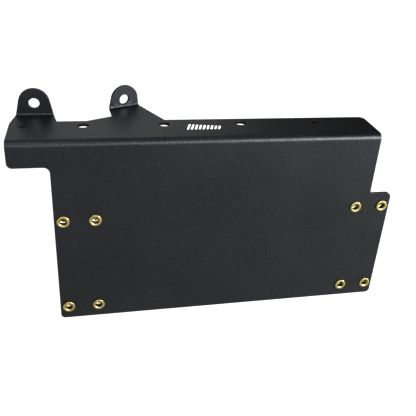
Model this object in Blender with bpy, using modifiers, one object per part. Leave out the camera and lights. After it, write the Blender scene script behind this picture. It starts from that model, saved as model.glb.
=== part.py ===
"""Black powder-coated steel mounting bracket with eight pressed-in M6 rivet nuts.

One laser-cut sheet is folded three times: a long fold between the upright face and the top flange,
and one fold at the root of each bolt ear. The sheet is drawn flat, in the plane of the flange, and
then folded, so its outline is the real blank.

Frame: X along the long fold, Y from the front of the face towards the back, Z up. The origin is on
the top of the flange, on the line of its bolt holes, midway between the first and the last of the
four evenly spaced ones.
"""

import math

import bmesh
import bpy
from mathutils import Vector

MM = 0.001

# Sheet
THICKNESS = 3.0 * MM
LONG_BEND_INSIDE = 3.5 * MM
LONG_BEND_OUTSIDE = LONG_BEND_INSIDE + THICKNESS
EAR_BEND_INSIDE = 2.3 * MM
BEND_ANGLE = math.radians(90)
NEUTRAL_LINE = 0.44
BEND_STEPS = 8

# Upright face
FRONT = -37.0 * MM
FACE_LEFT = -148.4 * MM
FACE_BOTTOM = -203.2 * MM
FACE_RIGHT = 179.6 * MM
SHOULDER_BOTTOM = -26.0 * MM
SIDE_TAB_RIGHT = 204.5 * MM
SIDE_TAB_TOP = -68.8 * MM

# Top flange
FLANGE_LEFT = -185.7 * MM
FLANGE_REAR = 12.0 * MM
FLANGE_HOLE_PITCH = 78.3 * MM
LARGE_HOLE = 10.5 * MM
SMALL_HOLE = 7.0 * MM
LEFT_SMALL_HOLE = -173.2 * MM

# Ears: the root is where each fold starts, in the plane of the flange
EAR_RADIUS = 14.9 * MM
LEFT_EAR_MIDDLE = -163.7 * MM
LEFT_EAR_ROOT = 26.9 * MM
LEFT_EAR_ROOT_HALF_WIDTH = 18.6 * MM
LEFT_EAR_HOLE_HEIGHT = 12.2 * MM
LEFT_NECK_START = 8.4 * MM
LEFT_NECK_RIGHT = -142.4 * MM
RIGHT_EAR_ROOT_LEFT = Vector((-90.1 * MM, 41.1 * MM))
RIGHT_EAR_ROOT_WIDTH = 34.0 * MM
RIGHT_EAR_ANGLE = math.radians(23)
RIGHT_EAR_MIDDLE = 17.9 * MM
RIGHT_EAR_HOLE_ACROSS = 17.3 * MM
RIGHT_EAR_HOLE_HEIGHT = 8.3 * MM
RIGHT_RAMP_LEFT = -114.0 * MM
RIGHT_RAMP_TOP = Vector((-88.8 * MM, 24.0 * MM))
RIGHT_RAMP_RIGHT = -37.4 * MM
BETWEEN_EARS = -127.0 * MM

# Corner radii
FACE_LEFT_CORNER = 4.5 * MM
FACE_RIGHT_CORNER = 5.0 * MM
SIDE_TAB_CORNER = 6.0 * MM
NOTCH_CORNER = 3.5 * MM
SHOULDER_CORNER = 5.0 * MM
SHOULDER_FILLET = 6.0 * MM
FLANGE_CORNER = 6.5 * MM
RAMP_CORNER = 2.5 * MM
ARC_STEP = math.radians(12)
HOLE_STEPS = 32

# Rivet nuts: two rows, with an outer and an inner pair of columns about one middle
NUT_ROWS = {"lower": -188.3 * MM, "upper": -84.4 * MM}
NUT_MIDDLE = 28.0 * MM
NUT_OUTER_REACH = 167.85 * MM
NUT_INNER_REACH = 137.4 * MM
NUT_COLUMNS = {
    "outer_left": NUT_MIDDLE - NUT_OUTER_REACH,
    "inner_left": NUT_MIDDLE - NUT_INNER_REACH,
    "inner_right": NUT_MIDDLE + NUT_INNER_REACH,
    "outer_right": NUT_MIDDLE + NUT_OUTER_REACH,
}
NUT_BODY = 9.0 * MM
NUT_HEAD = 12.4 * MM
NUT_HEAD_THICKNESS = 1.5 * MM
NUT_BULGE = 11.8 * MM
NUT_BULGE_DEPTH = 3.4 * MM
NUT_BORE = 5.1 * MM
NUT_MOUTH = 8.2 * MM
NUT_COUNTERBORE = 7.2 * MM
NUT_SHOULDER = 1.5 * MM
NUT_LENGTH_BEHIND = 11.0 * MM
NUT_EDGE = 0.4 * MM
NUT_STEPS = 24
CLEARANCE = 0.3 * MM
MERGE = 0.00001


def clear_scene():
    for thing in list(bpy.data.objects):
        bpy.data.objects.remove(thing, do_unlink=True)


def new_collection(name):
    collection = bpy.data.collections.new(name)
    bpy.context.scene.collection.children.link(collection)
    return collection


def new_material(name, colour, roughness, metallic):
    material = bpy.data.materials.new(name)
    material.use_nodes = True
    shader = material.node_tree.nodes["Principled BSDF"]
    shader.inputs["Base Color"].default_value = (*colour, 1.0)
    shader.inputs["Roughness"].default_value = roughness
    shader.inputs["Metallic"].default_value = metallic
    return material


def arc_points(centre, radius, start, sweep, steps):
    """Points along an arc, from the angle start through sweep, both ends included."""
    angles = [start + sweep * step / steps for step in range(steps + 1)]
    return [centre + radius * Vector((math.cos(a), math.sin(a))) for a in angles]


def circle_points(centre, diameter):
    return arc_points(centre, diameter / 2, 0, math.tau, HOLE_STEPS)[:-1]


def rounded_outline(corners):
    """A closed outline from (point, radius) corners, each an arc tangent to its two sides."""
    outline = []
    for index, (corner, radius) in enumerate(corners):
        back = (corners[index - 1][0] - corner).normalized()
        ahead = (corners[(index + 1) % len(corners)][0] - corner).normalized()
        if radius == 0:
            outline.append(corner)
            continue
        half = back.angle(ahead) / 2
        centre = corner + (back + ahead).normalized() * radius / math.sin(half)
        first = corner + back * radius / math.tan(half) - centre
        last = corner + ahead * radius / math.tan(half) - centre
        sweep = -first.angle_signed(last)
        steps = max(2, math.ceil(abs(sweep) / ARC_STEP))
        outline += arc_points(centre, radius, math.atan2(first.y, first.x), sweep, steps)
    ring = zip(outline, outline[-1:] + outline[:-1])
    return [point for point, previous in ring if (point - previous).length > MERGE]


def bend_length(inside):
    """How much of the flat sheet a bend of this inside radius takes up."""
    return (inside + NEUTRAL_LINE * THICKNESS) * BEND_ANGLE


def face_point(x, z):
    """Where a point of the upright face lies on the flat sheet."""
    bend_end = FRONT + LONG_BEND_OUTSIDE - bend_length(LONG_BEND_INSIDE)
    return Vector((x, bend_end + z + LONG_BEND_OUTSIDE))


def ear_point(root, along, across, up):
    """Where a point of an ear lies on the flat sheet: across the root, and up from the flange."""
    into = Vector((-along.y, along.x))
    return root + along * across + into * (bend_length(EAR_BEND_INSIDE) + up - EAR_BEND_INSIDE)


def ear_top(root, along, middle, hole_height, foot_left, foot_right):
    """The two upper corners of an ear whose sides run from its foot, tangent to its round top."""
    top = hole_height + EAR_RADIUS
    centre_in_flat = bend_length(EAR_BEND_INSIDE) + hole_height - EAR_BEND_INSIDE
    corners = []
    for foot, side in ((foot_left, -1), (foot_right, 1)):
        reach = abs(foot - middle)
        distance = math.hypot(reach, centre_in_flat)
        lean = math.asin(EAR_RADIUS / distance) - math.atan2(reach, centre_in_flat)
        rise = centre_in_flat + EAR_RADIUS
        across = middle + side * (reach + rise * math.tan(lean))
        corners.append((ear_point(root, along, across, top), EAR_RADIUS))
    return corners


def sheet_corners():
    """The flat blank, clockwise from the lower left corner of the face."""
    left_root = Vector((0, LEFT_EAR_ROOT))
    left_along = Vector((1, 0))
    left_foot = LEFT_EAR_MIDDLE - LEFT_EAR_ROOT_HALF_WIDTH
    right_foot = LEFT_EAR_MIDDLE + LEFT_EAR_ROOT_HALF_WIDTH
    turned = Vector((math.cos(RIGHT_EAR_ANGLE), math.sin(RIGHT_EAR_ANGLE)))
    return [
        (face_point(FACE_LEFT, FACE_BOTTOM), FACE_LEFT_CORNER),
        (face_point(FACE_LEFT, SHOULDER_BOTTOM), SHOULDER_FILLET),
        (face_point(FLANGE_LEFT, SHOULDER_BOTTOM), SHOULDER_CORNER),
        (Vector((FLANGE_LEFT, LEFT_NECK_START)), 0),
        (Vector((left_foot, LEFT_EAR_ROOT)), 0),
        *ear_top(left_root, left_along, LEFT_EAR_MIDDLE, LEFT_EAR_HOLE_HEIGHT, left_foot, right_foot),
        (Vector((right_foot, LEFT_EAR_ROOT)), 0),
        (Vector((LEFT_NECK_RIGHT, FLANGE_REAR)), 0),
        (Vector((RIGHT_RAMP_LEFT, FLANGE_REAR)), 0),
        (RIGHT_RAMP_TOP, RAMP_CORNER),
        (RIGHT_EAR_ROOT_LEFT, 0),
        *ear_top(
            RIGHT_EAR_ROOT_LEFT,
            turned,
            RIGHT_EAR_MIDDLE,
            RIGHT_EAR_HOLE_HEIGHT,
            0,
            RIGHT_EAR_ROOT_WIDTH,
        ),
        (RIGHT_EAR_ROOT_LEFT + turned * RIGHT_EAR_ROOT_WIDTH, 0),
        (Vector((RIGHT_RAMP_RIGHT, FLANGE_REAR)), 0),
        (Vector((FACE_RIGHT, FLANGE_REAR)), FLANGE_CORNER),
        (face_point(FACE_RIGHT, SIDE_TAB_TOP), NOTCH_CORNER),
        (face_point(SIDE_TAB_RIGHT, SIDE_TAB_TOP), SIDE_TAB_CORNER),
        (face_point(SIDE_TAB_RIGHT, FACE_BOTTOM), FACE_RIGHT_CORNER),
    ]


def sheet_holes():
    """(centre, diameter) of every round hole in the flat blank."""
    row = [FLANGE_HOLE_PITCH * (step - 1.5) for step in range(4)]
    holes = [(Vector((x, 0)), LARGE_HOLE) for x in row[:3]]
    holes += [(Vector((x, 0)), SMALL_HOLE) for x in (LEFT_SMALL_HOLE, row[3])]
    turned = Vector((math.cos(RIGHT_EAR_ANGLE), math.sin(RIGHT_EAR_ANGLE)))
    left = ear_point(Vector((0, LEFT_EAR_ROOT)), Vector((1, 0)), LEFT_EAR_MIDDLE, LEFT_EAR_HOLE_HEIGHT)
    right = ear_point(RIGHT_EAR_ROOT_LEFT, turned, RIGHT_EAR_HOLE_ACROSS, RIGHT_EAR_HOLE_HEIGHT)
    holes += [(left, LARGE_HOLE), (right, LARGE_HOLE)]
    for z in NUT_ROWS.values():
        for x in NUT_COLUMNS.values():
            holes.append((face_point(x, z), NUT_BODY + 2 * CLEARANCE))
    return holes


def flat_sheet():
    """The blank as a mesh, its upper surface at the height of the flange."""
    curve = bpy.data.curves.new("blank", "CURVE")
    curve.dimensions = "2D"
    curve.fill_mode = "BOTH"
    curve.extrude = THICKNESS / 2
    outlines = [rounded_outline(sheet_corners())]
    outlines += [circle_points(centre, diameter) for centre, diameter in sheet_holes()]
    for outline in outlines:
        spline = curve.splines.new("POLY")
        spline.points.add(len(outline) - 1)
        for point, place in zip(spline.points, outline):
            point.co = (place.x, place.y, 0, 1)
        spline.use_cyclic_u = True
    drawn = bpy.data.objects.new("blank", curve)
    bpy.context.scene.collection.objects.link(drawn)
    bpy.context.view_layer.update()
    graph = bpy.context.evaluated_depsgraph_get()
    mesh = bpy.data.meshes.new_from_object(drawn.evaluated_get(graph))
    bpy.data.objects.remove(drawn, do_unlink=True)
    sheet = bmesh.new()
    sheet.from_mesh(mesh)
    bpy.data.meshes.remove(mesh)
    bmesh.ops.remove_doubles(sheet, verts=sheet.verts, dist=MERGE)
    bmesh.ops.translate(sheet, verts=sheet.verts, vec=(0, 0, -THICKNESS / 2))
    return sheet


def cut_line(sheet, point, normal, wanted):
    """Splits the faces that pass wanted along a plane, so that the sheet can fold there."""
    faces = [face for face in sheet.faces if wanted(face.calc_center_median())]
    edges = {edge for face in faces for edge in face.edges}
    verts = {vert for face in faces for vert in face.verts}
    bmesh.ops.bisect_plane(
        sheet, geom=[*verts, *edges, *faces], dist=MERGE / 10, plane_co=point, plane_no=normal
    )


def fold(sheet, root, into, up, inside, wanted):
    """Folds what lies past root, along into, through a right angle towards up.

    The root is on the inside surface, and inside is the radius there. The bend is a row of flat
    strips, as wide as BEND_STEPS gives.
    """
    length = bend_length(inside)
    for step in range(BEND_STEPS + 1):
        cut_line(sheet, root + into * length * step / BEND_STEPS, into, wanted)
    for vert in sheet.verts:
        past = (vert.co - root).dot(into)
        if past <= 0 or not wanted(vert.co):
            continue
        height = (vert.co - root).dot(up)
        radius = inside - height
        if past >= length:
            run = radius
            rise = inside + past - length
        else:
            strip, part = divmod(past / length * BEND_STEPS, 1)
            ends = [BEND_ANGLE * (strip + end) / BEND_STEPS for end in (0, 1)]
            run = radius * (math.sin(ends[0]) * (1 - part) + math.sin(ends[1]) * part)
            rise = inside - radius * (math.cos(ends[0]) * (1 - part) + math.cos(ends[1]) * part)
        vert.co += into * (run - past) + up * (rise - height)


def everywhere(place):
    return True


def left_of_the_middle(place):
    """On the left ear's side of the line between the two ears."""
    return place.x < BETWEEN_EARS


def right_of_the_middle(place):
    return place.x >= BETWEEN_EARS


def make_bracket(collection, material):
    sheet = flat_sheet()
    upwards = Vector((0, 0, 1))
    cut_line(sheet, Vector((BETWEEN_EARS, 0, 0)), Vector((1, 0, 0)), everywhere)
    left_root = Vector((0, LEFT_EAR_ROOT, 0))
    fold(sheet, left_root, Vector((0, 1, 0)), upwards, EAR_BEND_INSIDE, left_of_the_middle)
    right_root = RIGHT_EAR_ROOT_LEFT.to_3d()
    right_into = Vector((-math.sin(RIGHT_EAR_ANGLE), math.cos(RIGHT_EAR_ANGLE), 0))
    fold(sheet, right_root, right_into, upwards, EAR_BEND_INSIDE, right_of_the_middle)
    long_root = Vector((0, FRONT + LONG_BEND_OUTSIDE, -THICKNESS))
    fold(sheet, long_root, Vector((0, -1, 0)), -upwards, LONG_BEND_INSIDE, everywhere)
    bmesh.ops.recalc_face_normals(sheet, faces=sheet.faces)
    mesh = bpy.data.meshes.new("bracket_plate")
    sheet.to_mesh(mesh)
    sheet.free()
    mesh.shade_smooth()
    mesh.set_sharp_from_angle(angle=math.radians(30))
    mesh.materials.append(material)
    bracket = bpy.data.objects.new("bracket_plate", mesh)
    collection.objects.link(bracket)
    return bracket


def nut_profile():
    """(radius, height) round one rivet nut, its head upwards and the front of the sheet at height 0.

    The counterbore runs through the sheet to a shoulder inside the bulge, where the thread starts.
    """
    head_top = CLEARANCE + NUT_HEAD_THICKNESS
    behind = -THICKNESS - CLEARANCE
    bulge_end = behind - NUT_BULGE_DEPTH
    tail = -THICKNESS - NUT_LENGTH_BEHIND
    body = NUT_BODY / 2
    bore = NUT_BORE / 2
    counterbore = NUT_COUNTERBORE / 2
    mouth = NUT_MOUTH / 2
    shoulder = behind - NUT_SHOULDER
    return [
        (mouth, head_top),
        (NUT_HEAD / 2 - NUT_EDGE, head_top),
        (NUT_HEAD / 2, head_top - NUT_EDGE),
        (NUT_HEAD / 2, CLEARANCE),
        (body, CLEARANCE),
        (body, behind),
        (NUT_BULGE / 2 - NUT_EDGE, behind),
        (NUT_BULGE / 2, behind - NUT_BULGE_DEPTH / 3),
        (body, bulge_end),
        (body, tail + NUT_EDGE),
        (body - NUT_EDGE, tail),
        (bore, tail),
        (bore, shoulder - (counterbore - bore)),
        (counterbore, shoulder),
        (counterbore, head_top - (mouth - counterbore)),
    ]


def make_nut_mesh(material):
    profile = [(radius, 0, height) for radius, height in nut_profile()]
    edges = [(index, (index + 1) % len(profile)) for index in range(len(profile))]
    mesh = bpy.data.meshes.new("rivet_nut")
    mesh.from_pydata(profile, edges, [])
    mesh.materials.append(material)
    return mesh


def make_nut(name, mesh, place, collection):
    nut = bpy.data.objects.new(name, mesh)
    collection.objects.link(nut)
    nut.location = place
    nut.rotation_euler = (math.radians(90), 0, 0)
    turn = nut.modifiers.new("turn", "SCREW")
    turn.axis = "Z"
    turn.angle = math.tau
    turn.steps = NUT_STEPS
    turn.render_steps = NUT_STEPS
    turn.use_merge_vertices = True
    turn.merge_threshold = MERGE
    turn.use_smooth_shade = True
    return nut


def main():
    clear_scene()
    collection = new_collection("accessory_bracket")
    coat = new_material("black_powder_coat", (0.022, 0.023, 0.026), 0.55, 0.0)
    zinc = new_material("yellow_zinc", (0.70, 0.52, 0.20), 0.35, 1.0)
    make_bracket(collection, coat)
    nut_mesh = make_nut_mesh(zinc)
    for row, z in NUT_ROWS.items():
        for column, x in NUT_COLUMNS.items():
            make_nut(f"rivet_nut_{row}_{column}", nut_mesh, (x, FRONT, z), collection)


main()
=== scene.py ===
"""Looks of the folded mounting bracket: a finely rounded powder-coated sheet, zinc-plated rivet nuts
with real threads, a generic printed mark, a pale studio and the camera. Metres, in the CAD frame."""

import math

import bmesh
import bpy
from mathutils import Matrix, Vector


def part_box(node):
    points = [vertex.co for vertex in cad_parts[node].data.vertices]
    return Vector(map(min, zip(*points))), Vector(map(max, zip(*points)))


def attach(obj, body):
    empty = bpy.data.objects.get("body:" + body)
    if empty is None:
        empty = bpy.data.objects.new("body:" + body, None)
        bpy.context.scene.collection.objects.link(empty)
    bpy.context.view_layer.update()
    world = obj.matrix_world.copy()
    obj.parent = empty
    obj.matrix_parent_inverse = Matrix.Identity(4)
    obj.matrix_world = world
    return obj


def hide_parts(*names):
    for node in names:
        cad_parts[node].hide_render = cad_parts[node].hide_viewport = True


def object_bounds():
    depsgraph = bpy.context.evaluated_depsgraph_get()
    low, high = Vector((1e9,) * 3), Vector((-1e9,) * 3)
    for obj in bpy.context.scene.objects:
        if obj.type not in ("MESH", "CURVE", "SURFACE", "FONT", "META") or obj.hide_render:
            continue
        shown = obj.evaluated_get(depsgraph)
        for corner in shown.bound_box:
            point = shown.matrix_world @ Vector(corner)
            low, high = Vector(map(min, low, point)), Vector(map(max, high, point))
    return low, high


MM = 0.001
# Closer than this, two vertices are one
MERGE = 0.002 * MM
QUARTER_TURN = math.radians(90)

# Sheet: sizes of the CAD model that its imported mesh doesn't state
THICKNESS = 3.0 * MM
LONG_BEND_INSIDE = 3.5 * MM
LONG_BEND_OUTSIDE = LONG_BEND_INSIDE + THICKNESS
EAR_BEND_INSIDE = 2.3 * MM
# How far into the sheet, from the inside of a bend, its length stays the same, of its thickness
NEUTRAL_LINE = 0.44
BEND_STEPS = 20
EDGE_RADIUS = 0.35 * MM
EDGE_RINGS = 2
ARC_STEP = math.radians(4)
SHORTEST_SIDE = 0.01 * MM
HOLE_STEPS = 64

FACE_LEFT = -148.4 * MM
FACE_RIGHT = 179.6 * MM
SHOULDER_BOTTOM = -26.0 * MM
SIDE_TAB_TOP = -68.8 * MM
FLANGE_REAR = 12.0 * MM
HOLE_PITCH = 78.3 * MM
LARGE_HOLE = 10.5 * MM
SMALL_HOLE = 7.0 * MM
LEFT_SMALL_HOLE = -173.2 * MM
NUT_HOLE = 9.6 * MM

EAR_RADIUS = 14.9 * MM
LEFT_EAR_MIDDLE = -163.7 * MM
LEFT_EAR_ROOT = 26.9 * MM
LEFT_EAR_ROOT_HALF_WIDTH = 18.6 * MM
LEFT_EAR_HOLE_HEIGHT = 12.2 * MM
LEFT_NECK_START = 8.4 * MM
LEFT_NECK_RIGHT = -142.4 * MM
RIGHT_EAR_ROOT_LEFT = Vector((-90.1 * MM, 41.1 * MM))
RIGHT_EAR_ROOT_WIDTH = 34.0 * MM
RIGHT_EAR_ANGLE = math.radians(23)
RIGHT_EAR_MIDDLE = 17.9 * MM
RIGHT_EAR_HOLE_ACROSS = 17.3 * MM
RIGHT_EAR_HOLE_HEIGHT = 8.3 * MM
RIGHT_RAMP_LEFT = -114.0 * MM
RIGHT_RAMP_TOP = Vector((-88.8 * MM, 24.0 * MM))
RIGHT_RAMP_RIGHT = -37.4 * MM
BETWEEN_EARS = -127.0 * MM

FACE_LEFT_CORNER = 4.5 * MM
FACE_RIGHT_CORNER = 5.0 * MM
SIDE_TAB_CORNER = 6.0 * MM
NOTCH_CORNER = 3.5 * MM
SHOULDER_CORNER = 5.0 * MM
SHOULDER_FILLET = 6.0 * MM
FLANGE_CORNER = 6.5 * MM
RAMP_CORNER = 2.5 * MM

# The right ear's fold and the sheet above it are out of true, as far up as this many bend lengths
UNEVEN_REACH = 1.7
UNEVEN_STEPS = 6

# Rivet nut
NUT_TURN_STEPS = 72
NUT_HEAD = 12.4 * MM
NUT_HEAD_TOP = 1.6 * MM
NUT_LIP = 0.75 * MM
NUT_UNDERCUT = 0.3 * MM
NUT_SEAT = 0.05 * MM
NUT_BODY = 9.0 * MM
NUT_BULGE = 11.8 * MM
NUT_BULGE_DEPTH = 3.4 * MM
NUT_LENGTH_BEHIND = 11.0 * MM
NUT_MOUTH = 8.2 * MM
NUT_MOUTH_DROP = 0.04 * MM
NUT_MOUTH_BEVEL = 0.12 * MM
NUT_COUNTERBORE = 7.2 * MM
NUT_WALL = 0.9 * MM
NUT_TAIL_CORNER = 0.4 * MM
NUT_TWIST = math.radians(67)
NUT_SHARP = math.radians(38)
KNURL_TEETH = 24
KNURL_DEPTH = 0.12 * MM
KNURL_GAP = 0.6 * MM
KNURL_GROOVE_BELOW = -0.4
THREAD_MAJOR = 6.0 * MM
THREAD_MINOR = 5.0 * MM
THREAD_PITCH = 1.0 * MM
THREAD_ROWS = 6
THREAD_LEAD_IN = 0.3 * MM
THREAD_FLAT = 0.12

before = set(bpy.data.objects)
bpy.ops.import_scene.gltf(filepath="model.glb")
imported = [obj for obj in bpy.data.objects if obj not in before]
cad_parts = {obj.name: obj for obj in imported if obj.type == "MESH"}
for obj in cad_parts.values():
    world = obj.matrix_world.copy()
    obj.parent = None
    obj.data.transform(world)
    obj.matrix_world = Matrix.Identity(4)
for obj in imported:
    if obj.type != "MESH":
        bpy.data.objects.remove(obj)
cad_low, cad_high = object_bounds()
NUTS = sorted(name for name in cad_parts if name.startswith("rivet_nut"))
PLATE_LOW, PLATE_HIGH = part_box("bracket_plate")
FRONT = PLATE_LOW.y


# ---------------------------------------------------------------- node materials


class Nodes:
    """A short way to write a node tree: each call adds one node and links its inputs."""

    def __init__(self, name):
        self.material = bpy.data.materials.new(name)
        self.material.use_nodes = True
        self.tree = self.material.node_tree
        self.shader = self.tree.nodes["Principled BSDF"]
        self.place = self.tree.nodes.new("ShaderNodeTexCoord").outputs["Object"]

    def plug(self, socket, value):
        if isinstance(value, bpy.types.NodeSocket):
            self.tree.links.new(value, socket)
        else:
            socket.default_value = value

    def noise(self, scale, detail=2.0, roughness=0.5):
        node = self.tree.nodes.new("ShaderNodeTexNoise")
        self.plug(node.inputs["Vector"], self.place)
        node.inputs["Scale"].default_value = scale
        node.inputs["Detail"].default_value = detail
        node.inputs["Roughness"].default_value = roughness
        return node.outputs["Fac"]

    def voronoi(self, scale):
        """The distance to the nearest of many scattered points."""
        node = self.tree.nodes.new("ShaderNodeTexVoronoi")
        self.plug(node.inputs["Vector"], self.place)
        node.inputs["Scale"].default_value = scale
        return node.outputs["Distance"]

    def math(self, operation, first, second=0.0):
        node = self.tree.nodes.new("ShaderNodeMath")
        node.operation = operation
        self.plug(node.inputs[0], first)
        self.plug(node.inputs[1], second)
        return node.outputs[0]

    def span(self, value, low, high, to_low, to_high):
        """Maps low..high to to_low..to_high, clamped."""
        node = self.tree.nodes.new("ShaderNodeMapRange")
        self.plug(node.inputs["Value"], value)
        limits = {"From Min": low, "From Max": high, "To Min": to_low, "To Max": to_high}
        for name, number in limits.items():
            node.inputs[name].default_value = number
        return node.outputs["Result"]

    def mix(self, factor, first, second):
        node = self.tree.nodes.new("ShaderNodeMix")
        node.data_type = "RGBA"
        self.plug(node.inputs["Factor"], factor)
        self.plug(node.inputs["A"], first)
        self.plug(node.inputs["B"], second)
        return node.outputs["Result"]

    def parts(self, vector):
        node = self.tree.nodes.new("ShaderNodeSeparateXYZ")
        self.plug(node.inputs[0], vector)
        return node.outputs

    def bump(self, height, strength, distance, normal=None):
        node = self.tree.nodes.new("ShaderNodeBump")
        self.plug(node.inputs["Height"], height)
        node.inputs["Strength"].default_value = strength
        node.inputs["Distance"].default_value = distance
        if normal:
            self.plug(node.inputs["Normal"], normal)
        return node.outputs["Normal"]

    def grazing(self):
        """0 where the surface is seen square on, 1 where it is seen edge on."""
        return self.tree.nodes.new("ShaderNodeLayerWeight").outputs["Facing"]

    def stored(self, name):
        """A value that the mesh stores at each vertex."""
        node = self.tree.nodes.new("ShaderNodeAttribute")
        node.attribute_name = name
        return node.outputs["Fac"]


def powder_coat():
    """Satin black powder coat: orange peel, specks, faint cloudiness and slightly thin edges. In the
    holes its colour is painted near black as shade and it is duller; it is duller seen edge on, and
    wavy in the right ear's fold."""
    n = Nodes("black_powder_coat")
    deep_black, black = (0.0018, 0.0019, 0.0021, 1), (0.0028, 0.0029, 0.0032, 1)
    dust, thin_coat = (0.0125, 0.013, 0.0142, 1), (0.02, 0.021, 0.023, 1)
    # painted shade: the colour given to the holes' walls for the shade inside them
    painted_hole_shade = (0.0005, 0.0005, 0.0006, 1)
    cloud = n.noise(14.0, 3.0)
    peel = n.noise(620.0, 2.0, 0.55)
    grain = n.noise(1900.0, 1.0)
    in_hole = n.stored("bore")

    speck = n.span(n.voronoi(700.0), 0.05, 0.4, 1.0, 0.0)
    base = n.mix(n.span(cloud, 0.35, 0.65, 0.0, 1.0), deep_black, black)
    thin = n.math("MULTIPLY", n.stored("rim"), n.span(cloud, 0.45, 0.65, 0.0, 0.35))
    worn = n.mix(thin, n.mix(speck, base, dust), thin_coat)
    # painted shade: the holes' walls are mixed towards near black, standing in for the shade inside
    # them
    n.plug(n.shader.inputs["Base Color"], n.mix(in_hole, worn, painted_hole_shade))

    matt = n.math("ADD", n.span(peel, 0.3, 0.7, 0.38, 0.50), n.span(cloud, 0.3, 0.7, -0.03, 0.03))
    dull = n.math("ADD", n.math("MULTIPLY", in_hole, 0.6), n.span(n.grazing(), 0.66, 0.77, 0.0, 0.5))
    n.plug(n.shader.inputs["Roughness"], n.math("ADD", matt, dull))
    n.shader.inputs["Specular IOR Level"].default_value = 0.31
    n.shader.inputs["Specular Tint"].default_value = (0.88, 0.93, 1.0, 1)

    wave = n.math("SUBTRACT", n.noise(170.0, 1.0), 0.5)
    uneven = n.math("MULTIPLY", wave, n.stored("uneven"))
    textured = n.bump(peel, 0.8, 0.12 * MM, n.bump(grain, 0.6, 0.04 * MM))
    n.plug(n.shader.inputs["Normal"], n.bump(uneven, 1.0, 1.6 * MM, textured))
    return n.material


def yellow_zinc():
    """Yellow-passivated zinc: olive gold that drifts and stains, under a clear passivate film. Down
    the bore its colour is painted darker with depth, as shade."""
    n = Nodes("yellow_zinc")
    olive, gold, stained = (0.165, 0.13, 0.015, 1), (0.205, 0.16, 0.024, 1), (0.14, 0.12, 0.022, 1)
    painted_bore_shade = (0.03, 0.023, 0.003, 1)
    drift = n.noise(260.0, 2.0)
    stain = n.noise(700.0, 2.0)
    plated = n.mix(n.span(drift, 0.35, 0.65, 0.0, 1.0), olive, gold)
    colour = n.mix(n.span(stain, 0.5, 0.75, 0.0, 0.6), plated, stained)
    # painted shade: inside the bore the colour darkens with depth, standing in for the shade there
    x, y, height = n.parts(n.place)
    across = n.math("SQRT", n.math("ADD", n.math("MULTIPLY", x, x), n.math("MULTIPLY", y, y)))
    in_bore = n.span(across, 3.7 * MM, 3.85 * MM, 1.0, 0.0)
    shade = n.math("MULTIPLY", in_bore, n.span(height, -3.5 * MM, 0.6 * MM, 0.9, 0.35))
    n.plug(n.shader.inputs["Base Color"], n.mix(shade, colour, painted_bore_shade))
    n.plug(n.shader.inputs["Roughness"], n.span(stain, 0.3, 0.7, 0.42, 0.52))
    n.shader.inputs["Metallic"].default_value = 0.8
    n.shader.inputs["Coat Weight"].default_value = 1.0
    n.shader.inputs["Coat IOR"].default_value = 1.8
    n.shader.inputs["Coat Roughness"].default_value = 0.22
    n.plug(n.shader.inputs["Normal"], n.bump(n.noise(2600.0, 2.0), 0.15, 0.02 * MM))
    return n.material


def white_ink():
    """Pad-printed white ink, slightly uneven where the coat's texture takes less of it."""
    n = Nodes("white_ink")
    white, worn_white = (0.86, 0.87, 0.88, 1), (0.45, 0.46, 0.48, 1)
    thin = n.span(n.noise(1500.0, 2.0), 0.58, 0.78, 0.0, 0.6)
    n.plug(n.shader.inputs["Base Color"], n.mix(thin, white, worn_white))
    n.plug(n.shader.inputs["Roughness"], n.span(n.noise(700.0), 0.3, 0.7, 0.4, 0.6))
    n.plug(n.shader.inputs["Normal"], n.bump(n.noise(620.0, 2.0, 0.55), 0.3, 0.05 * MM))
    return n.material


# ---------------------------------------------------------------- the folded sheet


def arc_points(centre, radius, start, sweep, steps):
    angles = [start + sweep * step / steps for step in range(steps + 1)]
    return [centre + radius * Vector((math.cos(a), math.sin(a))) for a in angles]


def circle_points(centre, diameter):
    return arc_points(centre, diameter / 2, 0, math.tau, HOLE_STEPS)[:-1]


def rounded_outline(corners):
    """A closed outline from (point, radius) corners, each an arc tangent to its two sides."""
    outline = []
    for index, (corner, radius) in enumerate(corners):
        back = (corners[index - 1][0] - corner).normalized()
        ahead = (corners[(index + 1) % len(corners)][0] - corner).normalized()
        if radius == 0:
            outline.append(corner)
            continue
        half = back.angle(ahead) / 2
        centre = corner + (back + ahead).normalized() * radius / math.sin(half)
        first = corner + back * radius / math.tan(half) - centre
        last = corner + ahead * radius / math.tan(half) - centre
        sweep = -first.angle_signed(last)
        steps = max(2, math.ceil(abs(sweep) / ARC_STEP))
        outline += arc_points(centre, radius, math.atan2(first.y, first.x), sweep, steps)
    ring = zip(outline, outline[-1:] + outline[:-1])
    return [point for point, previous in ring if (point - previous).length > SHORTEST_SIDE]


def bend_length(inside):
    """How much of the flat sheet a bend of this inside radius takes up."""
    return (inside + NEUTRAL_LINE * THICKNESS) * QUARTER_TURN


def face_point(x, z):
    """Where a point of the upright face lies on the flat sheet."""
    bend_end = FRONT + LONG_BEND_OUTSIDE - bend_length(LONG_BEND_INSIDE)
    return Vector((x, bend_end + z + LONG_BEND_OUTSIDE))


def ear_point(root, along, across, up):
    """Where a point of an ear lies on the flat sheet: across the root, and up from the flange."""
    into = Vector((-along.y, along.x))
    return root + along * across + into * (bend_length(EAR_BEND_INSIDE) + up - EAR_BEND_INSIDE)


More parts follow.
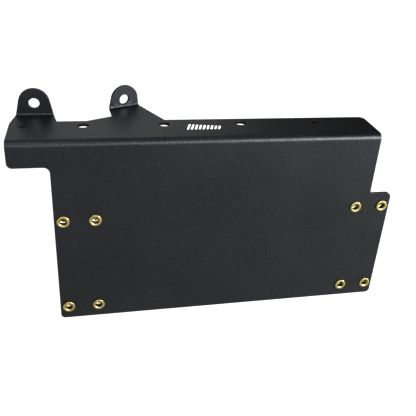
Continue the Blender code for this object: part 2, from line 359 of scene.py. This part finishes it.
def ear_top(root, along, middle, hole_height, foot_left, foot_right):
    """The two upper corners of an ear whose sides run from its foot, tangent to its round top."""
    top = hole_height + EAR_RADIUS
    centre_in_flat = bend_length(EAR_BEND_INSIDE) + hole_height - EAR_BEND_INSIDE
    corners = []
    for foot, side in ((foot_left, -1), (foot_right, 1)):
        reach = abs(foot - middle)
        distance = math.hypot(reach, centre_in_flat)
        lean = math.asin(EAR_RADIUS / distance) - math.atan2(reach, centre_in_flat)
        rise = centre_in_flat + EAR_RADIUS
        across = middle + side * (reach + rise * math.tan(lean))
        corners.append((ear_point(root, along, across, top), EAR_RADIUS))
    return corners


def turned():
    """The direction of the right ear's root."""
    return Vector((math.cos(RIGHT_EAR_ANGLE), math.sin(RIGHT_EAR_ANGLE)))


def sheet_corners():
    """The flat blank, clockwise from the lower left corner of the face."""
    left_root = Vector((0, LEFT_EAR_ROOT))
    left_foot = LEFT_EAR_MIDDLE - LEFT_EAR_ROOT_HALF_WIDTH
    right_foot = LEFT_EAR_MIDDLE + LEFT_EAR_ROOT_HALF_WIDTH
    left_ear = (LEFT_EAR_MIDDLE, LEFT_EAR_HOLE_HEIGHT, left_foot, right_foot)
    right_ear = (RIGHT_EAR_MIDDLE, RIGHT_EAR_HOLE_HEIGHT, 0, RIGHT_EAR_ROOT_WIDTH)
    return [
        (face_point(FACE_LEFT, PLATE_LOW.z), FACE_LEFT_CORNER),
        (face_point(FACE_LEFT, SHOULDER_BOTTOM), SHOULDER_FILLET),
        (face_point(PLATE_LOW.x, SHOULDER_BOTTOM), SHOULDER_CORNER),
        (Vector((PLATE_LOW.x, LEFT_NECK_START)), 0),
        (Vector((left_foot, LEFT_EAR_ROOT)), 0),
        *ear_top(left_root, Vector((1, 0)), *left_ear),
        (Vector((right_foot, LEFT_EAR_ROOT)), 0),
        (Vector((LEFT_NECK_RIGHT, FLANGE_REAR)), 0),
        (Vector((RIGHT_RAMP_LEFT, FLANGE_REAR)), 0),
        (RIGHT_RAMP_TOP, RAMP_CORNER),
        (RIGHT_EAR_ROOT_LEFT, 0),
        *ear_top(RIGHT_EAR_ROOT_LEFT, turned(), *right_ear),
        (RIGHT_EAR_ROOT_LEFT + turned() * RIGHT_EAR_ROOT_WIDTH, 0),
        (Vector((RIGHT_RAMP_RIGHT, FLANGE_REAR)), 0),
        (Vector((FACE_RIGHT, FLANGE_REAR)), FLANGE_CORNER),
        (face_point(FACE_RIGHT, SIDE_TAB_TOP), NOTCH_CORNER),
        (face_point(PLATE_HIGH.x, SIDE_TAB_TOP), SIDE_TAB_CORNER),
        (face_point(PLATE_HIGH.x, PLATE_LOW.z), FACE_RIGHT_CORNER),
    ]


def sheet_holes():
    """(centre, diameter) of every round hole in the flat blank. Four of the flange's five are evenly
    spaced about the origin, and the last of those is a small one."""
    row = [HOLE_PITCH * (step - 1.5) for step in range(4)]
    holes = [(Vector((x, 0)), LARGE_HOLE) for x in row[:3]]
    holes += [(Vector((x, 0)), SMALL_HOLE) for x in (LEFT_SMALL_HOLE, row[3])]
    left = ear_point(Vector((0, LEFT_EAR_ROOT)), Vector((1, 0)), LEFT_EAR_MIDDLE, LEFT_EAR_HOLE_HEIGHT)
    right = ear_point(RIGHT_EAR_ROOT_LEFT, turned(), RIGHT_EAR_HOLE_ACROSS, RIGHT_EAR_HOLE_HEIGHT)
    holes += [(left, LARGE_HOLE), (right, LARGE_HOLE)]
    for name in NUTS:
        place = nut_centre(name)
        holes.append((face_point(place.x, place.z), NUT_HOLE))
    return holes


def nut_centre(name):
    """Where the nut's axis meets the front of the face."""
    low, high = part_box(name)
    return Vector(((low.x + high.x) / 2, FRONT, (low.z + high.z) / 2))


def flat_sheet():
    """The blank with rounded edges, its upper surface at the height of the flange."""
    curve = bpy.data.curves.new("blank", "CURVE")
    curve.dimensions = "2D"
    curve.fill_mode = "BOTH"
    curve.extrude = THICKNESS / 2 - EDGE_RADIUS
    curve.bevel_depth = EDGE_RADIUS
    curve.bevel_resolution = EDGE_RINGS
    curve.offset = -EDGE_RADIUS
    outlines = [rounded_outline(sheet_corners())]
    outlines += [circle_points(centre, diameter) for centre, diameter in sheet_holes()]
    for outline in outlines:
        spline = curve.splines.new("POLY")
        spline.points.add(len(outline) - 1)
        for point, place in zip(spline.points, outline):
            point.co = (place.x, place.y, 0, 1)
        spline.use_cyclic_u = True
    drawn = bpy.data.objects.new("blank", curve)
    bpy.context.scene.collection.objects.link(drawn)
    bpy.context.view_layer.update()
    graph = bpy.context.evaluated_depsgraph_get()
    mesh = bpy.data.meshes.new_from_object(drawn.evaluated_get(graph))
    bpy.data.objects.remove(drawn, do_unlink=True)
    sheet = bmesh.new()
    sheet.from_mesh(mesh)
    bpy.data.meshes.remove(mesh)
    bmesh.ops.remove_doubles(sheet, verts=sheet.verts, dist=MERGE)
    bmesh.ops.translate(sheet, verts=sheet.verts, vec=(0, 0, -THICKNESS / 2))
    return sheet


def everywhere(place):
    return True


def left_of_the_middle(place):
    """On the left ear's side of the line between the two ears."""
    return place.x < BETWEEN_EARS


def right_of_the_middle(place):
    return place.x >= BETWEEN_EARS


UP = Vector((0, 0, 1))
LEFT_ROOT = Vector((0, LEFT_EAR_ROOT, 0))
RIGHT_ROOT = RIGHT_EAR_ROOT_LEFT.to_3d()
RIGHT_EAR_INTO = Vector((-math.sin(RIGHT_EAR_ANGLE), math.cos(RIGHT_EAR_ANGLE), 0))
LONG_ROOT = Vector((0, FRONT + LONG_BEND_OUTSIDE, -THICKNESS))
# root, direction into the fold, direction it folds towards, inside radius, and which places it moves
FOLDS = (
    (LEFT_ROOT, Vector((0, 1, 0)), UP, EAR_BEND_INSIDE, left_of_the_middle),
    (RIGHT_ROOT, RIGHT_EAR_INTO, UP, EAR_BEND_INSIDE, right_of_the_middle),
    (LONG_ROOT, Vector((0, -1, 0)), -UP, LONG_BEND_INSIDE, everywhere),
)


def cut_line(sheet, point, normal, wanted):
    """Splits the faces that pass wanted along a plane, so that the sheet can fold there."""
    faces = [face for face in sheet.faces if wanted(face.calc_center_median())]
    edges = {edge for face in faces for edge in face.edges}
    verts = {vert for face in faces for vert in face.verts}
    bmesh.ops.bisect_plane(
        sheet, geom=[*verts, *edges, *faces], dist=MERGE / 10, plane_co=point, plane_no=normal
    )


def flat_normals(sheet):
    """The true normal at each vertex of the blank: upright on its two faces, turning over its edge."""
    normals = []
    for vert in sheet.verts:
        if abs(vert.co.z) < MERGE:
            normals.append(UP.copy())
        elif abs(vert.co.z + THICKNESS) < MERGE:
            normals.append(-UP)
        else:
            normals.append(sum((face.normal for face in vert.link_faces), Vector()).normalized())
    return normals


def folded(place, normal, root, into, up, inside):
    """Where a point past the root goes, with its normal, when the sheet folds through a right angle."""
    length = bend_length(inside)
    past = (place - root).dot(into)
    height = (place - root).dot(up)
    radius = inside - height
    angle = QUARTER_TURN * min(1.0, past / length)
    beyond = max(0.0, past - length)
    run = radius * math.sin(angle)
    rise = inside - radius * math.cos(angle) + beyond
    turn = Matrix.Rotation(angle, 3, into.cross(up))
    return place + into * (run - past) + up * (rise - height), turn @ normal


def unevenness(place):
    """How far out of true the right ear's fold is at a place on the flat blank: 0 to 1."""
    past = (place - RIGHT_ROOT).dot(RIGHT_EAR_INTO) / bend_length(EAR_BEND_INSIDE)
    near = right_of_the_middle(place) and 0 < past < UNEVEN_REACH
    return math.sin(math.pi * past / UNEVEN_REACH) if near else 0.0


def in_a_hole(place, holes):
    """Whether an edge point of the flat blank is on the wall of one of these round holes."""
    return any((place.xy - centre).length < across / 2 + MERGE for centre, across in holes)


def make_plate(material):
    """Folds the blank, and stores what its coat needs to know of each vertex."""
    sheet = flat_sheet()
    cut_line(sheet, Vector((BETWEEN_EARS, 0, 0)), Vector((1, 0, 0)), everywhere)
    for root, into, _, inside, wanted in FOLDS:
        for step in range(BEND_STEPS + 1):
            cut_line(sheet, root + into * bend_length(inside) * step / BEND_STEPS, into, wanted)
    for step in range(1, UNEVEN_STEPS + 1):
        past = bend_length(EAR_BEND_INSIDE) * (1 + (UNEVEN_REACH - 1) * step / UNEVEN_STEPS)
        cut_line(sheet, RIGHT_ROOT + RIGHT_EAR_INTO * past, RIGHT_EAR_INTO, right_of_the_middle)
    bmesh.ops.recalc_face_normals(sheet, faces=sheet.faces)
    normals = flat_normals(sheet)
    rim = [float(-THICKNESS + MERGE < vert.co.z < -MERGE) for vert in sheet.verts]
    holes = sheet_holes()
    stored = {
        "rim": rim,
        # bore: the walls of the round holes, where the coat's colour is painted dark as shade
        "bore": [edge * in_a_hole(vert.co, holes) for vert, edge in zip(sheet.verts, rim)],
        "uneven": [unevenness(vert.co) for vert in sheet.verts],
    }
    for index, vert in enumerate(sheet.verts):
        for root, into, up, inside, wanted in FOLDS:
            if wanted(vert.co) and (vert.co - root).dot(into) > 0:
                vert.co, normals[index] = folded(vert.co, normals[index], root, into, up, inside)
    plate = as_object("coated_plate", sheet, material)
    plate.data.normals_split_custom_set_from_vertices(normals)
    for name, values in stored.items():
        plate.data.attributes.new(name, "FLOAT", "POINT").data.foreach_set("value", values)
    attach(plate, "root")
    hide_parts("bracket_plate")


def as_object(name, shape, material):
    """Turns a bmesh into a smooth object in the scene, and frees it."""
    mesh = bpy.data.meshes.new(name)
    shape.to_mesh(mesh)
    shape.free()
    mesh.shade_smooth()
    mesh.materials.append(material)
    made = bpy.data.objects.new(name, mesh)
    bpy.context.scene.collection.objects.link(made)
    return made


# ---------------------------------------------------------------- rivet nuts


def round_corner(centre, radius, start, sweep, steps):
    """(radius, height) points round a corner of a turned profile; angles in degrees."""
    angles = [math.radians(start + sweep * step / steps) for step in range(steps + 1)]
    return [(centre[0] + radius * math.cos(a), centre[1] + radius * math.sin(a)) for a in angles]


def nut_outside():
    """(radius, height) points from the top of the thread up the counterbore, over the head, through
    the sheet, over the bulge and down to the tail."""
    behind = -THICKNESS
    below_bulge = behind - NUT_BULGE_DEPTH
    tail = behind - NUT_LENGTH_BEHIND
    body = NUT_BODY / 2
    head = NUT_HEAD / 2
    bore = NUT_COUNTERBORE / 2
    mouth = NUT_MOUTH / 2
    thread_root = THREAD_MAJOR / 2
    swell = NUT_BULGE_DEPTH / 2
    bulge = (NUT_BULGE / 2 - swell, behind - swell)
    thread_top = below_bulge + 0.2 * MM
    lip = (head - NUT_LIP, NUT_HEAD_TOP - NUT_LIP)
    undercut = (head - NUT_UNDERCUT, NUT_UNDERCUT + NUT_SEAT)
    tail_corner = (body - NUT_TAIL_CORNER, tail + NUT_TAIL_CORNER)
    profile = [(thread_root + 0.1 * MM, thread_top), (bore - 0.3 * MM, thread_top + 0.3 * MM)]
    profile += round_corner(bulge, swell - NUT_WALL, -70, 140, 6)
    profile += [(bore, behind - 0.35 * MM), (bore, NUT_HEAD_TOP - (mouth - bore))]
    profile += [(mouth, NUT_HEAD_TOP - NUT_MOUTH_DROP), (mouth + NUT_MOUTH_BEVEL, NUT_HEAD_TOP)]
    profile += round_corner(lip, NUT_LIP, 90, -90, 6)
    profile += round_corner(undercut, NUT_UNDERCUT, 0, -90, 3)
    profile += [(body, NUT_SEAT), (body, behind)]
    profile += round_corner(bulge, swell, 80, -160, 8)
    profile += [(body + 0.3 * MM, below_bulge - 0.1 * MM), (body, below_bulge - KNURL_GAP)]
    profile += [(body, tail + 1.2 * MM), (body, tail + NUT_TAIL_CORNER)]
    profile += round_corner(tail_corner, NUT_TAIL_CORNER, 0, -90, 4)
    profile += [(thread_root + 0.2 * MM, tail)]
    return profile


def thread_radius(turn, height):
    """The bore's radius at a turn (0 to 1) and height: a 60 degree thread, blunt at crest and root."""
    wave = abs(((height / THREAD_PITCH - turn) % 1.0) * 2 - 1)
    depth = min(1.0, max(0.0, (wave - THREAD_FLAT) / (1 - 2 * THREAD_FLAT)))
    return (THREAD_MINOR + (THREAD_MAJOR - THREAD_MINOR) * depth) / 2


def outside_radius(turn, radius, height, tail):
    """The outside's radius at a turn (0 to 1), less where the barrel has the knurl's grooves."""
    knurl_top = -THICKNESS - NUT_BULGE_DEPTH - KNURL_GAP
    on_barrel = abs(radius - NUT_BODY / 2) < MERGE and tail + MM < height <= knurl_top + MERGE
    in_groove = math.cos(KNURL_TEETH * math.tau * turn) < KNURL_GROOVE_BELOW
    return radius - KNURL_DEPTH if on_barrel and in_groove else radius


def ring_of_points(shape, radii, height):
    """A closed ring of vertices, one for each radius, evenly round the nut's axis."""
    angles = [math.tau * step / len(radii) for step in range(len(radii))]
    return [shape.verts.new((r * math.cos(a), r * math.sin(a), height)) for r, a in zip(radii, angles)]


def nut_shape():
    """A closed turned body: rings over the outside, then back up the thread."""
    outside = nut_outside()
    tail = outside[-1][1]
    threaded = outside[0][1] - tail - 2 * THREAD_LEAD_IN
    rows = math.ceil(threaded / THREAD_PITCH * THREAD_ROWS)
    turns = [step / NUT_TURN_STEPS for step in range(NUT_TURN_STEPS)]
    shape = bmesh.new()
    rings = []
    for radius, height in outside:
        radii = [outside_radius(turn, radius, height, tail) for turn in turns]
        rings.append(ring_of_points(shape, radii, height))
    for row in range(rows + 1):
        height = tail + THREAD_LEAD_IN + threaded * row / rows
        radii = [thread_radius(turn, height) for turn in turns]
        rings.append(ring_of_points(shape, radii, height))
    for first, second in zip(rings, rings[1:] + rings[:1]):
        for step in range(NUT_TURN_STEPS):
            after = (step + 1) % NUT_TURN_STEPS
            shape.faces.new((first[step], second[step], second[after], first[after]))
    bmesh.ops.recalc_face_normals(shape, faces=shape.faces)
    return shape


def make_nuts(material):
    """One shared mesh, its axis towards the front, at each nut's place and its own turn."""
    master = as_object("nut_master", nut_shape(), material)
    mesh = master.data
    mesh.set_sharp_from_angle(angle=NUT_SHARP)
    bpy.data.objects.remove(master, do_unlink=True)
    for count, name in enumerate(NUTS):
        nut = bpy.data.objects.new(name.replace("rivet_nut", "threaded_nut"), mesh)
        bpy.context.scene.collection.objects.link(nut)
        spin = Matrix.Rotation(NUT_TWIST * count, 4, "Z")
        forwards = Matrix.Rotation(QUARTER_TURN, 4, "X")
        nut.matrix_world = Matrix.Translation(nut_centre(name)) @ forwards @ spin
        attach(nut, "root")
        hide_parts(name)


# ---------------------------------------------------------------- printed mark

MARK_MIDDLE = Vector((-2.0 * MM, -8.2 * MM))
MARK_BARS = 9
MARK_PITCH = 3.9 * MM
MARK_BAR = 2.1 * MM
MARK_HEIGHT = 13.0 * MM
MARK_SLANT = 0.3
MARK_SHORTENING = 0.05
MARK_LIFT = 0.01 * MM
MARK_THICKNESS = 0.05 * MM
MARK_CORNER = 0.3 * MM
MARK_SHARP = math.radians(30)


def make_mark(material):
    """A row of slanted stripes on the flange, each a little shorter than the one before."""
    shape = bmesh.new()
    for bar in range(MARK_BARS):
        across = (bar - (MARK_BARS - 1) / 2) * MARK_PITCH
        tall = MARK_HEIGHT * (1 - MARK_SHORTENING * bar)
        foot = MARK_MIDDLE.y - MARK_HEIGHT / 2
        corners = [
            (across - MARK_BAR / 2, foot),
            (across + MARK_BAR / 2, foot),
            (across + MARK_BAR / 2 + MARK_SLANT * tall, foot + tall),
            (across - MARK_BAR / 2 + MARK_SLANT * tall, foot + tall),
        ]
        low = [shape.verts.new((MARK_MIDDLE.x + x, y, MARK_LIFT)) for x, y in corners]
        face = shape.faces.new(low)
        grown = bmesh.ops.extrude_face_region(shape, geom=[face])
        moved = [part for part in grown["geom"] if isinstance(part, bmesh.types.BMVert)]
        bmesh.ops.translate(shape, verts=moved, vec=(0, 0, MARK_THICKNESS))
    upright = [edge for edge in shape.edges if abs(edge.verts[0].co.z - edge.verts[1].co.z) > MERGE]
    bmesh.ops.bevel(shape, geom=upright, offset=MARK_CORNER, segments=3, affect="EDGES")
    bmesh.ops.recalc_face_normals(shape, faces=shape.faces)
    mark = as_object("printed_mark", shape, material)
    mark.data.set_sharp_from_angle(angle=MARK_SHARP)
    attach(mark, "root")


# ---------------------------------------------------------------- studio and camera

FLOOR_GAP = 0.2 * MM
FLOOR_SIZE = 12.0
FLOOR_GLOW = 1.0
ROOM = 0.1
SKY = 1.0
CONTRAST = 0.8
# name: place, aim, size and watts of each softbox
SOFTBOXES = {
    "front_right": ((0.70, -0.97, 0.44), (0.10, -0.03, 0.0), (0.45, 0.28), 34.5),
    "front_mid": ((0.26, -1.08, 0.44), (0.0, -0.03, 0.0), (0.5, 0.28), 10.6),
    "front_left": ((-0.35, -1.1, 0.44), (-0.10, -0.03, 0.0), (0.6, 0.3), 7.4),
    "right_low": ((1.22, -0.78, 0.13), (0.0, 0.0, 0.0), (0.35, 0.3), 40.0),
    "high_left": ((-0.55, -0.55, 1.05), (-0.10, 0.0, 0.0), (0.7, 0.5), 10.6),
    "rear": ((-0.16, 1.5, 0.8), (-0.02, 0.0, 0.0), (1.25, 1.0), 5.4),
    "top": ((-0.1, 0.45, 1.3), (0.0, 0.0, 0.0), (1.2, 0.5), 3.5),
    "rear_fill": ((0.25, 1.1, -0.1), (0.02, 0.0, -0.12), (0.9, 0.18), 6.0),
}


def make_floor():
    n = Nodes("pale_floor")
    tone = n.mix(n.noise(3.0, 2.0), (0.075, 0.075, 0.075, 1), (0.085, 0.085, 0.085, 1))
    n.plug(n.shader.inputs["Base Color"], tone)
    n.shader.inputs["Roughness"].default_value = 0.9
    n.shader.inputs["Specular IOR Level"].default_value = 0.1
    n.shader.inputs["Emission Color"].default_value = (1, 1, 1, 1)
    n.shader.inputs["Emission Strength"].default_value = FLOOR_GLOW
    bpy.ops.mesh.primitive_plane_add(size=FLOOR_SIZE, location=(0, 0, cad_low.z - FLOOR_GAP))
    floor = bpy.context.object
    floor.name = "studio_floor"
    floor.data.materials.append(n.material)


def make_softbox(name, place, aim, size, watts):
    light = bpy.data.lights.new(name, "AREA")
    light.shape = "RECTANGLE"
    light.size, light.size_y = size
    light.energy = watts
    lamp = bpy.data.objects.new(name, light)
    bpy.context.scene.collection.objects.link(lamp)
    lamp.location = place
    lamp.visible_camera = False
    lamp.rotation_euler = (Vector(aim) - Vector(place)).to_track_quat("-Z", "Y").to_euler()


def make_world():
    """White where the camera looks past the floor, and a dim room in the reflections."""
    world = bpy.data.worlds.new("studio")
    bpy.context.scene.world = world
    world.use_nodes = True
    tree = world.node_tree
    background = tree.nodes["Background"]
    background.inputs["Color"].default_value = (1, 1, 1, 1)
    strength = tree.nodes.new("ShaderNodeMapRange")
    strength.inputs["To Min"].default_value = ROOM
    strength.inputs["To Max"].default_value = SKY
    light_path = tree.nodes.new("ShaderNodeLightPath")
    tree.links.new(light_path.outputs["Is Camera Ray"], strength.inputs["Value"])
    tree.links.new(strength.outputs["Result"], background.inputs["Strength"])


# The camera that the photo's straight edges and rectangles of nuts lead to
CAMERA_PLACE = Vector((-106.97 * MM, -523.94 * MM, 212.19 * MM))
CAMERA_HEADING = math.radians(-14.052)
CAMERA_TILT = math.radians(-27.404)
CAMERA_ROLL = math.radians(4.324)
CAMERA_SENSOR_MM = 36
CAMERA_LENS_MM = 49.17
CAMERA_SHIFT = (-0.0334, -0.0618)
CAMERA_CLIP = (0.02, 50)


def make_camera():
    data = bpy.data.cameras.new("camera")
    data.sensor_width = CAMERA_SENSOR_MM
    data.lens = CAMERA_LENS_MM
    data.shift_x, data.shift_y = CAMERA_SHIFT
    data.clip_start, data.clip_end = CAMERA_CLIP
    camera = bpy.data.objects.new("camera", data)
    bpy.context.scene.collection.objects.link(camera)
    heading = Matrix.Rotation(CAMERA_HEADING, 4, "Z")
    tilt = Matrix.Rotation(QUARTER_TURN + CAMERA_TILT, 4, "X")
    roll = Matrix.Rotation(CAMERA_ROLL, 4, "Z")
    camera.matrix_world = Matrix.Translation(CAMERA_PLACE) @ heading @ tilt @ roll
    bpy.context.scene.camera = camera


def main():
    make_plate(powder_coat())
    make_nuts(yellow_zinc())
    make_mark(white_ink())
    make_floor()
    make_world()
    for name, settings in SOFTBOXES.items():
        make_softbox(name, *settings)
    make_camera()
    look = bpy.context.scene.view_settings
    look.view_transform = "Standard"
    look.gamma = CONTRAST


main()
